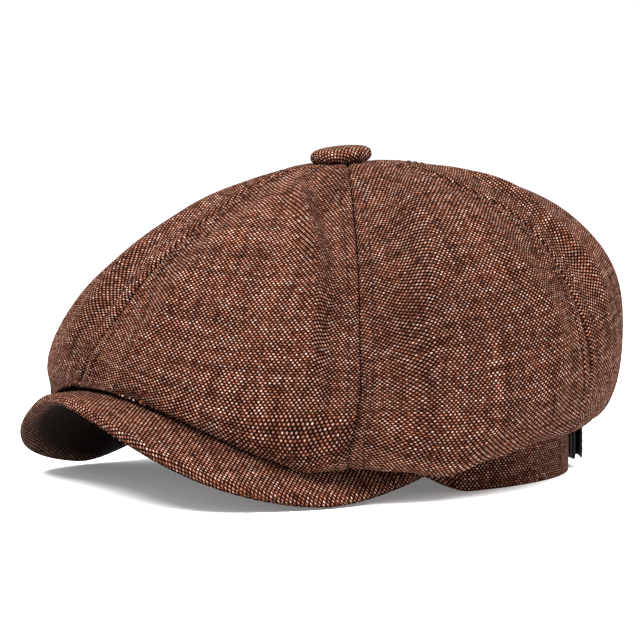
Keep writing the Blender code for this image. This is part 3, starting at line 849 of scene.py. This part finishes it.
def band_profile():
    """Section of the band: (how far inside its outside, height above its bottom), from its top down the
    outside, round the folded edge and a little way up the inside."""
    side = [(0.0, h) for h in np.linspace(26.2 * MM, 5.2 * MM, 16)]
    fold = [(0.0, 4.9 * MM), (0.12 * MM, 4.5 * MM), (0.32 * MM, 4.1 * MM), (0.12 * MM, 3.7 * MM),
            (0.0, 3.3 * MM), (0.0, 2.4 * MM), (0.02 * MM, 1.5 * MM)]
    curl = [(0.6 * MM * (1 - math.cos(a)) + 0.02 * MM, 0.6 * MM * (1 - math.sin(a)) + 0.05 * MM)
            for a in np.linspace(0.15, math.pi - 0.15, 9)]
    return np.array(side + fold + curl + [(1.22 * MM, 2.0 * MM)])


def band_points(degrees, profile, wobble=0.0):
    """Points of a band section swept round the head between two angles."""
    theta = np.radians(degrees)[:, None]
    inside = profile[None, :, 0]
    up = profile[None, :, 1]
    swell = wobble * np.sin(theta * 23) * np.sin(up / BAND_HEIGHT * math.pi)
    radius = band_radius(theta) - inside + swell
    return place(theta, radius, band_bottom(theta) + up)


def band_flat(degrees, profile, shift=0.0):
    theta = np.radians(degrees)
    along = arc_lengths(place(theta, band_radius(theta), 0))
    return grid_of(along[:, None] + shift, arc_lengths(profile)[None, :])


def strip(name, start, end, depth, thick, low, high, finish, columns=120, rows=10):
    """Plain upright strip round the head with rounded long edges."""
    degrees = np.linspace(start, end, columns)
    heights = np.linspace(low, high, rows)
    soft = thick * 0.35 * (hill(heights - low, 0.5 * MM) + hill(heights - high, 0.5 * MM))
    outer = np.stack([depth + soft, heights], -1)
    inner = np.stack([depth + thick - soft, heights], -1)
    return add_shell(name, band_points(degrees, outer), band_points(degrees, inner),
                     band_flat(degrees, outer), finish)


def add_band(cloth, sweat, board, tape, label, thread):
    end = 180 - BACK_OPENING
    profile = band_profile()
    thin = np.full(len(profile), 0.95 * MM)
    thin[-INSIDE_POINTS:] = 0.25 * MM
    runs = []
    for side, sign in (("left", 1), ("right", -1)):
        degrees = np.linspace(sign * 0.02, sign * end, 260)
        outer = band_points(degrees, profile, 0.25 * MM)
        normal = grid_normals(outer, (0, AXIS_Y, 12 * MM))
        flat = band_flat(degrees, profile, 0.4 + 0.5 * sign)
        piece = add_shell(f"head_band_{side}", outer, outer - normal * thin[None, :, None], flat, cloth)
        bends(piece, "woven_cloth", f"band_{side}")
        lay_flat(piece, flat, "folded", "sweatband_tape")
        runs.append((outer[3:-3, STITCHED_POINT], normal[3:-3, STITCHED_POINT]))
        stiffening = strip(f"band_stiffening_{side}", sign * 1.0, sign * (end - 1), 1.5 * MM, 0.4 * MM,
                           2.2 * MM, BAND_HEIGHT - 2 * MM, board)
        bends(stiffening, "stiffener", f"band_interlining_{side}")
    bends(add_stitches("band_topstitching", runs, thread), "woven_cloth")
    band = strip("sweatband_tape", -end, end, SWEATBAND_DEPTH, 0.8 * MM, 0.2 * MM, TAPE_TOP, sweat, 300)
    bends(band, "sweatband", "sweatband")
    elastic = strip("back_elastic_tape", end + 0.3, 360 - end - 0.3, SWEATBAND_DEPTH, 0.8 * MM, 0.8 * MM,
                    TAPE_TOP, tape, 60)
    rides(elastic, "cap", "webbing", "back_elastic")
    blank = strip("care_label_tape", 118, 132, SWEATBAND_DEPTH + 1.1 * MM, 0.35 * MM, 9 * MM,
                  BAND_HEIGHT - 3 * MM, label, 30)
    rides(blank, "cap", "label", "care_label")


# ---------------- visor
def visor_grid(profile, count):
    """Points of a visor section swept from one end to the other. The section is rows of
    (share of the depth, distance beyond that, height above the arch's underside, unrolled distance)."""
    theta = np.radians(np.linspace(-VISOR_END, VISOR_END, count))[:, None]
    root = band_radius(theta) + VISOR_ROOT_GAP
    rim = visor_outline(theta)
    share, beyond, height, unrolled = (profile[None, :, k] for k in range(4))
    ends = ease((VISOR_END - np.abs(np.degrees(theta))) / 4.0)
    radius = mix(root, rim, share) + beyond
    spot = place(theta, radius, 0)
    spot[..., 2] = arch_height(spot[..., 0]) + mix(VISOR_THICK / 2, height, 0.35 + 0.65 * ends)
    spot[..., 2] += far_side_lift(theta) - far_side_dip(theta) * share
    spread = mix(root, rim, share) + unrolled
    x = spread * np.sin(theta)
    flat = grid_of(arch_length(x) + 0.3, -spread * np.cos(theta) + 0.8)
    return spot, flat


def arch_length(x):
    """Distance over the arch from its crest."""
    table = np.linspace(0, 0.13, 400)
    height = arch_height(table)
    length = np.concatenate([[0.0], np.cumsum(np.hypot(np.diff(table), np.diff(height)))])
    return np.sign(x) * np.interp(np.abs(x), table, length)


def top_section(lift=0.0):
    """Top cover: from the band over the visor, round the rim and into the seam under its edge."""
    tall = VISOR_THICK - lift
    root = [(0.0, d, tall, d) for d in np.linspace(-1.9 * MM, -0.3 * MM, 4)]
    top = [(t, -RIM_ROUND * t, tall, -RIM_ROUND * t) for t in np.linspace(0.0, 1.0, 56)]
    r = RIM_ROUND - lift * 0.8
    edge = [(1.0, r * math.sin(a) - RIM_ROUND, tall - r + r * math.cos(a), r * a - RIM_ROUND)
            for a in np.linspace(0.1, math.pi / 2, 8)]
    _, out, _, run = edge[-1]
    for drop, pull in ((0.5, 0.0), (1.0, 0.02), (1.35, 0.12), (1.6, 0.38), (1.75, 0.8), (1.8, 1.4)):
        height = tall - r - drop * MM * (1 - lift / (6 * MM))
        edge.append((1.0, out - pull * MM, height, run + (drop + pull) * MM))
    return np.array(root + top + edge)


def under_section(lift=0.0):
    """Under cover: out of the rim's seam, round a small roll and back to the band."""
    roll = ((-1.3, -0.3, 0.80, 0.0, 0.9), (-0.75, 0.5, 0.72, 0.0, 0.6), (-0.42, 1.0, 0.48, 0.0, 0.3),
            (-0.45, 1.0, 0.22, 0.0, 0.0), (-0.75, 0.9, 0.05, 0.5, -0.3), (-1.2, 0.8, 0.0, 1.0, -0.8))
    edge = [(1.0, beyond * MM - lift * pull, height * MM + lift * rise, unrolled * MM)
            for beyond, pull, height, rise, unrolled in roll]
    under = [(t, -RIM_ROUND * t, lift, -RIM_ROUND * t) for t in np.linspace(1.0, 0.0, 50)]
    root = [(0.0, d, lift, d) for d in np.linspace(-0.3 * MM, -1.9 * MM, 4)]
    return np.array(edge + under + root)


def layer_section(height, reach=5 * MM):
    """One face of an inner layer of the visor."""
    return np.array([(t, -reach * t, height, 0) for t in np.linspace(0.03, 1.0, 30)])


def add_visor(cloth, shaded_cloth, board, foam):
    for name, section, node, finish in (
            ("visor_top_cloth", top_section, "visor_top_cover", cloth),
            ("visor_under_cloth", under_section, "visor_under_cover", shaded_cloth)):
        outer, flat = visor_grid(section(), 320)
        inner, _ = visor_grid(section(0.55 * MM), 320)
        piece = add_shell(name, outer, inner, flat, finish)
        bends(piece, "woven_cloth", node)
        # The under cover is a darker copy of the cloth as painted shadow, with painted shade growing away
        # from the rim.
        if finish is shaded_cloth:
            from_rim = 1 - section()[:, 0]
            add_painted_shade(piece, np.broadcast_to(ease(from_rim / 0.20), flat.shape[:2]))
        lay_flat(piece, flat, "stretched", "visor_stiffener")
    for name, low, high, finish, slot, node in (
            ("visor_stiffener", 1.1 * MM, 2.6 * MM, board, "stiffener", "visor_board"),
            ("visor_padding", 2.9 * MM, 3.5 * MM, foam, "padding", "visor_foam")):
        outer, flat = visor_grid(layer_section(high), 120)
        inner, _ = visor_grid(layer_section(low), 120)
        piece = add_shell(name, outer[4:-4], inner[4:-4], flat[4:-4], finish)
        bends(piece, slot, node)


# ---------------- button
BUTTON_TALL = 7.4 * MM
BUTTON_TILT = math.radians(6.5)
BUTTON_SEAT = CROWN_HEIGHT - DIMPLE + 0.7 * MM
BUTTON_FORWARD = 2.0 * MM
BUTTON_CLOTH = 0.7 * MM

# (share of the radius, share of the height), from the middle of the top round to the tucked edge
BUTTON_SECTION = np.array((
    (0.0, 1.0), (0.2, 0.995), (0.4, 0.975), (0.58, 0.94), (0.72, 0.895), (0.83, 0.83), (0.91, 0.75),
    (0.965, 0.64), (0.995, 0.50), (1.0, 0.38), (0.985, 0.25), (0.94, 0.13), (0.86, 0.05), (0.74, 0.0),
    (0.60, 0.02)))


def add_button(cloth):
    """Cloth gathered over a round shell, tucked in underneath."""
    corners = np.arange(len(BUTTON_SECTION))
    along = np.linspace(0, corners[-1], 44)
    reach, rise = (np.interp(along, corners, BUTTON_SECTION[:, k])[:, None] * size
                   for k, size in enumerate((BUTTON_RADIUS, BUTTON_TALL)))
    turn = np.linspace(0, 2 * math.pi, 97)[None, :-1]
    run = arc_lengths(np.concatenate([reach, rise], -1))[:, None]
    gathers = 0.28 * MM * np.sin(turn * 17 + 1.1 * np.sin(turn * 3)) * ease((run - 13 * MM) / (6 * MM))
    out = np.maximum(reach + gathers * (reach > 1 * MM), 0.02 * MM)

    def spot(out, up):
        y = out * np.sin(turn)
        return grid_of(out * np.cos(turn),
                       AXIS_Y - BUTTON_FORWARD + y * math.cos(BUTTON_TILT) - up * math.sin(BUTTON_TILT),
                       BUTTON_SEAT + y * math.sin(BUTTON_TILT) + up * math.cos(BUTTON_TILT))

    inner = spot(np.maximum(out - BUTTON_CLOTH * ease(reach / (10 * MM)), 0.01 * MM),
                 mix(rise - BUTTON_CLOTH, rise + 0.6 * MM, ease((along[:, None] - 26) / 14)))
    flat = grid_of(run * np.cos(turn) + 0.5, run * np.sin(turn) + 0.5)
    piece = add_shell("button_cloth", spot(out, rise), inner, flat, cloth, wrap=True)
    rides(piece, "cap", "woven_cloth", "button_cover")


# ---------------- rear strap
LOOP_BARS = (17.5, 25.5)
WIRE = 0.7 * MM
PATCH_SPAN = (31, 37)
SLIDE_WALL = 2.4 * MM
SLIDE_HALF = 5.6
SLIDE_BAR = 1.6


def strap_point(degrees, radius, *height):
    """Place on a circle round the strap's centre, in plan unless a height is given."""
    turn = np.radians(degrees)
    return grid_of(radius * np.sin(turn), STRAP_CENTRE_Y + radius * np.cos(turn), *height)


def doubled_path(start, turn_at, end):
    """Inner layer from start to turn_at, round a bar, and the outer layer back to end."""
    first = STRAP_INNER + STRAP_THICK / 2
    second = first + STRAP_LAYER_STEP
    count = max(round(abs(turn_at - start)), 2)
    centre = strap_point(turn_at, (first + second) / 2)
    outwards = strap_point(turn_at, second) - centre
    onwards = np.array((outwards[1], -outwards[0])) * (1 if turn_at > start else -1)
    bend = np.linspace(0, math.pi, 14)[1:-1, None]
    back = max(round(abs(end - turn_at)), 1)
    return np.concatenate([strap_point(np.linspace(start, turn_at, count + 1), first),
                           centre - outwards * np.cos(bend) + onwards * np.sin(bend),
                           strap_point(np.linspace(turn_at, end, back + 1), second)])


def webbing_outline(thick, low, high, sides=9):
    """Closed section of a tape with rounded edges: (across its thickness, height)."""
    r = thick / 2
    turn = np.linspace(-math.pi / 2, math.pi / 2, sides)
    top = np.stack([r * np.sin(turn), high - r + r * np.cos(turn)], -1)
    bottom = np.stack([-r * np.sin(turn), low + r - r * np.cos(turn)], -1)
    outer = np.stack([np.full(13, r), np.linspace(high - r, low + r, 15)[1:-1]], -1)
    inner = np.stack([np.full(13, -r), np.linspace(low + r, high - r, 15)[1:-1]], -1)
    return np.concatenate([top, outer, bottom, inner])


def add_webbing(name, path, finish):
    outline = webbing_outline(STRAP_THICK, STRAP_LOW, STRAP_HIGH)
    run = unit(np.gradient(path, axis=0))
    side = np.stack([-run[:, 1], run[:, 0]], -1)
    plan = path[:, None] + side[:, None] * outline[None, :, 0, None]
    rings = grid_of(plan[..., 0], plan[..., 1], outline[None, :, 1])
    flat = grid_of(arc_lengths(path)[:, None], outline[None, :, 1] + outline[None, :, 0] * 0.3)
    return add_tube(name, rings, finish, flat)


def rounded_rectangle(width, height, corner, step):
    """Rows of (across, up, direction outwards) round a rectangle with round corners."""
    rows = []
    for right, top, base in ((1, 1, 0), (-1, 1, 90), (-1, -1, 180), (1, -1, 270)):
        for bend in range(base, base + 91, step):
            way = math.radians(bend)
            rows.append((right * (width / 2 - corner) + corner * math.cos(way),
                         top * (height / 2 - corner) + corner * math.sin(way), way))
    return rows


def ring_piece(name, first_bar, last_bar, height, wire, finish):
    """Rectangular wire ring with round corners."""
    middle = STRAP_INNER + STRAP_THICK / 2 + STRAP_LAYER_STEP / 2
    half = math.radians(last_bar - first_bar) / 2
    turn = (first_bar + last_bar) / 2
    centre = strap_point(turn, middle * math.cos(half), (STRAP_LOW + STRAP_HIGH) / 2)
    turn = math.radians(turn)
    along = np.array((math.cos(turn), -math.sin(turn), 0))
    outwards = np.array((math.sin(turn), math.cos(turn), 0))
    up = np.array((0, 0, 1.0))
    rings = []
    for x, z, way in rounded_rectangle(2 * middle * math.sin(half), height, 1.2 * MM, 10):
        pull = along * math.cos(way) + up * math.sin(way)
        rings.append([centre + along * x + up * z + (pull * math.cos(a) + outwards * math.sin(a)) * wire
                      for a in np.arange(20) * 2 * math.pi / 20])
    return add_tube(name, np.array(rings), finish, closed_path=True)


def rounded_bar(start, end, radii, low, high, corner):
    """Rings of a curved bar with rounded long edges, running round the strap's circle."""
    near, far = radii
    outline = np.array(rounded_rectangle(far - near, high - low, corner, 30))
    return strap_point(np.linspace(start, end, 14)[:, None], (near + far) / 2 + outline[None, :, 0],
                       (low + high) / 2 + outline[None, :, 1])


def add_slider(finish):
    """Three-bar slide with softened edges."""
    outer_layer = STRAP_INNER + STRAP_LAYER_STEP
    low_rail = STRAP_LOW - SLIDE_WALL
    high_rail = STRAP_HIGH + SLIDE_WALL
    in_front = outer_layer + STRAP_THICK + 2 * GAP
    front = (in_front, in_front + 1.2 * MM)
    behind = (outer_layer - 2 * GAP - 1.0 * MM, outer_layer - 2 * GAP)
    rail = (behind[0] - 0.25 * MM, front[1] + 0.25 * MM)
    reach = SLIDE_HALF + 0.25
    bars = (low_rail + 0.8 * MM, high_rail - 0.8 * MM)
    spans = [(-reach, reach, rail, low_rail, STRAP_LOW - 0.6 * MM, 0.45 * MM),
             (-reach, reach, rail, STRAP_HIGH + 0.6 * MM, high_rail, 0.45 * MM),
             (-SLIDE_HALF, -SLIDE_HALF + 2 * SLIDE_BAR, front, *bars, 0.4 * MM),
             (SLIDE_HALF - 2 * SLIDE_BAR, SLIDE_HALF, front, *bars, 0.4 * MM),
             (-SLIDE_BAR * 0.8, SLIDE_BAR * 0.8, behind, *bars, 0.35 * MM)]
    parts = []
    for number, (start, end, radii, low, high, corner) in enumerate(spans):
        rings = rounded_bar(SLIDER_REST + start, SLIDER_REST + end, radii, low, high, corner)
        parts.append(add_tube(f"slide_part_{number}", rings, finish))
    base = parts[0]
    for part in parts[1:]:
        join = base.modifiers.new("join", "BOOLEAN")
        join.operation = "UNION"
        join.object = part
    depsgraph = bpy.context.evaluated_depsgraph_get()
    mesh = bpy.data.meshes.new_from_object(base.evaluated_get(depsgraph))
    for part in parts:
        bpy.data.objects.remove(part, do_unlink=True)
    mesh.set_sharp_from_angle(angle=math.radians(40))
    rides(linked("strap_slide", mesh), "slide", "hardware", "strap_slider")


def end_patch(name, start, end, finish):
    """Folded end of the strap, filling the space between it and the band."""
    degrees = np.linspace(start, end, 24)[:, None]
    heights = np.linspace(STRAP_LOW, STRAP_HIGH, 16)[None, :]
    far = strap_point(degrees, STRAP_INNER - GAP, heights)
    theta = np.arctan2(far[..., 0], AXIS_Y - far[..., 1])
    near = place(theta, band_radius(theta) + 2 * GAP, far[..., 2])
    soft = 0.25 * (hill(heights - STRAP_LOW, 0.6 * MM) + hill(heights - STRAP_HIGH, 0.6 * MM))[..., None]
    flat = grid_of(np.radians(degrees) * STRAP_INNER, heights)
    return add_shell(name, mix(far, near, soft), mix(near, far, soft), flat, finish)


def add_strap(tape, metal, thread):
    first, last = PATCH_SPAN
    strap = add_webbing("rear_strap", doubled_path(-last, LOOP_BARS[0], -20), tape)
    rides(strap, "cap", "webbing", "adjuster_strap")
    tab = add_webbing("rear_tab", doubled_path(last, LOOP_BARS[1], 36), tape)
    rides(tab, "cap", "webbing", "strap_tab")
    loop = ring_piece("rear_loop", *LOOP_BARS, STRAP_HIGH - STRAP_LOW + 3.4 * MM, WIRE, metal)
    rides(loop, "cap", "hardware", "strap_loop")
    add_slider(metal)
    for side, start, end in (("left", first, last), ("right", -last, -first)):
        patch = end_patch(f"rear_patch_{side}", start, end, tape)
        rides(patch, "cap", "webbing", f"strap_end_{side}")
    outer = STRAP_INNER + STRAP_THICK
    runs = stitched_box(-36.2, -31.8, outer) + stitched_box(31.8, 35.6, outer + STRAP_LAYER_STEP)
    rides(add_stitches("strap_stitching", runs, thread, 0.16 * MM), "cap", "webbing")


def stitched_box(start, end, radius):
    """Four runs of stitches round a rectangle on the strap's circle."""
    low = STRAP_LOW + 2 * MM
    high = STRAP_HIGH - 2 * MM
    corners = [(start, low), (end, low), (end, high), (start, high), (start, low)]
    steps = np.linspace(0, 1, 12)
    runs = []
    for (a0, h0), (a1, h1) in zip(corners, corners[1:]):
        degrees = mix(a0, a1, steps)
        turn = np.radians(degrees)
        line = strap_point(degrees, radius, mix(h0, h1, steps))
        runs.append((line, grid_of(np.sin(turn), np.cos(turn), 0)))
    return runs


# ---------------- inner hardware
def finish_inner_nodes(steel, patch):
    """The button's metal parts and the apex patch keep their CAD shapes."""
    for node, finish in (("button_shell", steel), ("button_back", steel), ("button_washer", steel),
                         ("apex_patch", patch)):
        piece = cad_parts[node]
        piece.data.materials.clear()
        piece.data.materials.append(finish)


# ---------------- studio
VIEW_AZIMUTH = 56.5
VIEW_ELEVATION = 4.5
VIEW_DISTANCE = 1.4
FLOOR_HALF = 6.0


def add_floor():
    g = Graph("studio_floor", 0.9)
    speck = g.noise(g.position(), 3.0, 2.0)
    g.set("Base Color", g.blend(speck, (0.93, 0.93, 0.93), (0.95, 0.95, 0.95)))
    g.set("Specular IOR Level", 0.0)
    g.set("Emission Color", (1.0, 0.97, 0.96, 1.0))
    g.set("Emission Strength", 0.16)
    corners = np.array(((-1, -1, 0), (1, -1, 0), (1, 1, 0), (-1, 1, 0))) * FLOOR_HALF
    new_object("floor", mesh_of("floor", corners, [(0, 1, 2, 3)]), g.material)


def direction(azimuth, elevation):
    a = math.radians(azimuth)
    e = math.radians(elevation)
    return Vector((math.sin(a) * math.cos(e), -math.cos(a) * math.cos(e), math.sin(e)))


def aimed(name, data, spot, way):
    """A lamp or camera at a spot, with its back turned towards a direction."""
    piece = linked(name, data)
    piece.location = spot
    piece.rotation_euler = way.to_track_quat("Z", "Y").to_euler()
    return piece


def add_light(name, azimuth, elevation, distance, size, power):
    lamp = bpy.data.lights.new(name, "AREA")
    lamp.shape = "DISK"
    lamp.size = size
    lamp.energy = power
    way = direction(azimuth, elevation)
    aimed(name, lamp, Vector((0, AXIS_Y, 60 * MM)) + way * distance, way)


def add_studio():
    world = bpy.data.worlds.new("studio")
    world.use_nodes = True
    background = world.node_tree.nodes["Background"]
    background.inputs["Color"].default_value = (1.0, 1.0, 1.0, 1.0)
    background.inputs["Strength"].default_value = 1.08
    bpy.context.scene.world = world
    bpy.context.scene.view_settings.view_transform = "Standard"
    add_floor()
    add_light("key", azimuth=8, elevation=54, distance=1.6, size=0.9, power=62)
    add_light("fill", azimuth=126, elevation=52, distance=1.6, size=0.9, power=40)


def add_camera():
    """The photograph's view: from the wearer's front left, a little above, with a long lens."""
    middle = Vector((0, AXIS_Y, 60 * MM))
    spot = middle + direction(VIEW_AZIMUTH, VIEW_ELEVATION) * VIEW_DISTANCE
    aim = middle - direction(VIEW_AZIMUTH + 90, 0) * 11.7 * MM + Vector((0, 0, 13.1 * MM))
    lens = bpy.data.cameras.new("camera")
    lens.lens = 169.9
    lens.sensor_width = 36.0
    lens.clip_end = 50.0
    bpy.context.scene.camera = aimed("camera", lens, spot, spot - aim)


def main():
    add_camera()
    cloth = woven_cloth("woven_cloth")
    dark_thread = sewing_thread("brown_thread", (0.006, 0.002, 0.0015))
    black_thread = sewing_thread("black_thread", (0.012, 0.012, 0.013))
    board = fibrous("board", (0.55, 0.54, 0.50), (0.74, 0.73, 0.70), 300.0)
    foam = fibrous("foam", (0.18, 0.18, 0.18), (0.30, 0.30, 0.29), 900.0)
    tape = webbing("black_webbing")
    add_crown(cloth, dark_thread)
    add_lining(satin("black_lining"))
    add_band(cloth, twill("sweatband_twill"), board, webbing("black_elastic", 0.9 * MM),
             twill("label_tape", (0.62, 0.61, 0.57), (0.80, 0.79, 0.75), 0.4 * MM), dark_thread)
    # The visor's under cover: the same cloth at 0.60 brightness with deep painted shade, a painted shadow.
    add_visor(cloth, woven_cloth("visor_under_shadow_cloth", 0.60, 0.85), board, foam)
    add_button(cloth)
    black_metal = lacquered_metal("black_metal", (0.020, 0.020, 0.022), 0.32, (0.10, 0.10, 0.10))
    add_strap(tape, black_metal, black_thread)
    finish_inner_nodes(lacquered_metal("tinned_steel", (0.56, 0.56, 0.57), 0.35, (0.40, 0.39, 0.38)),
                       fibrous("apex_felt", (0.012, 0.011, 0.011), (0.030, 0.028, 0.027), 600.0))
    add_studio()


main()
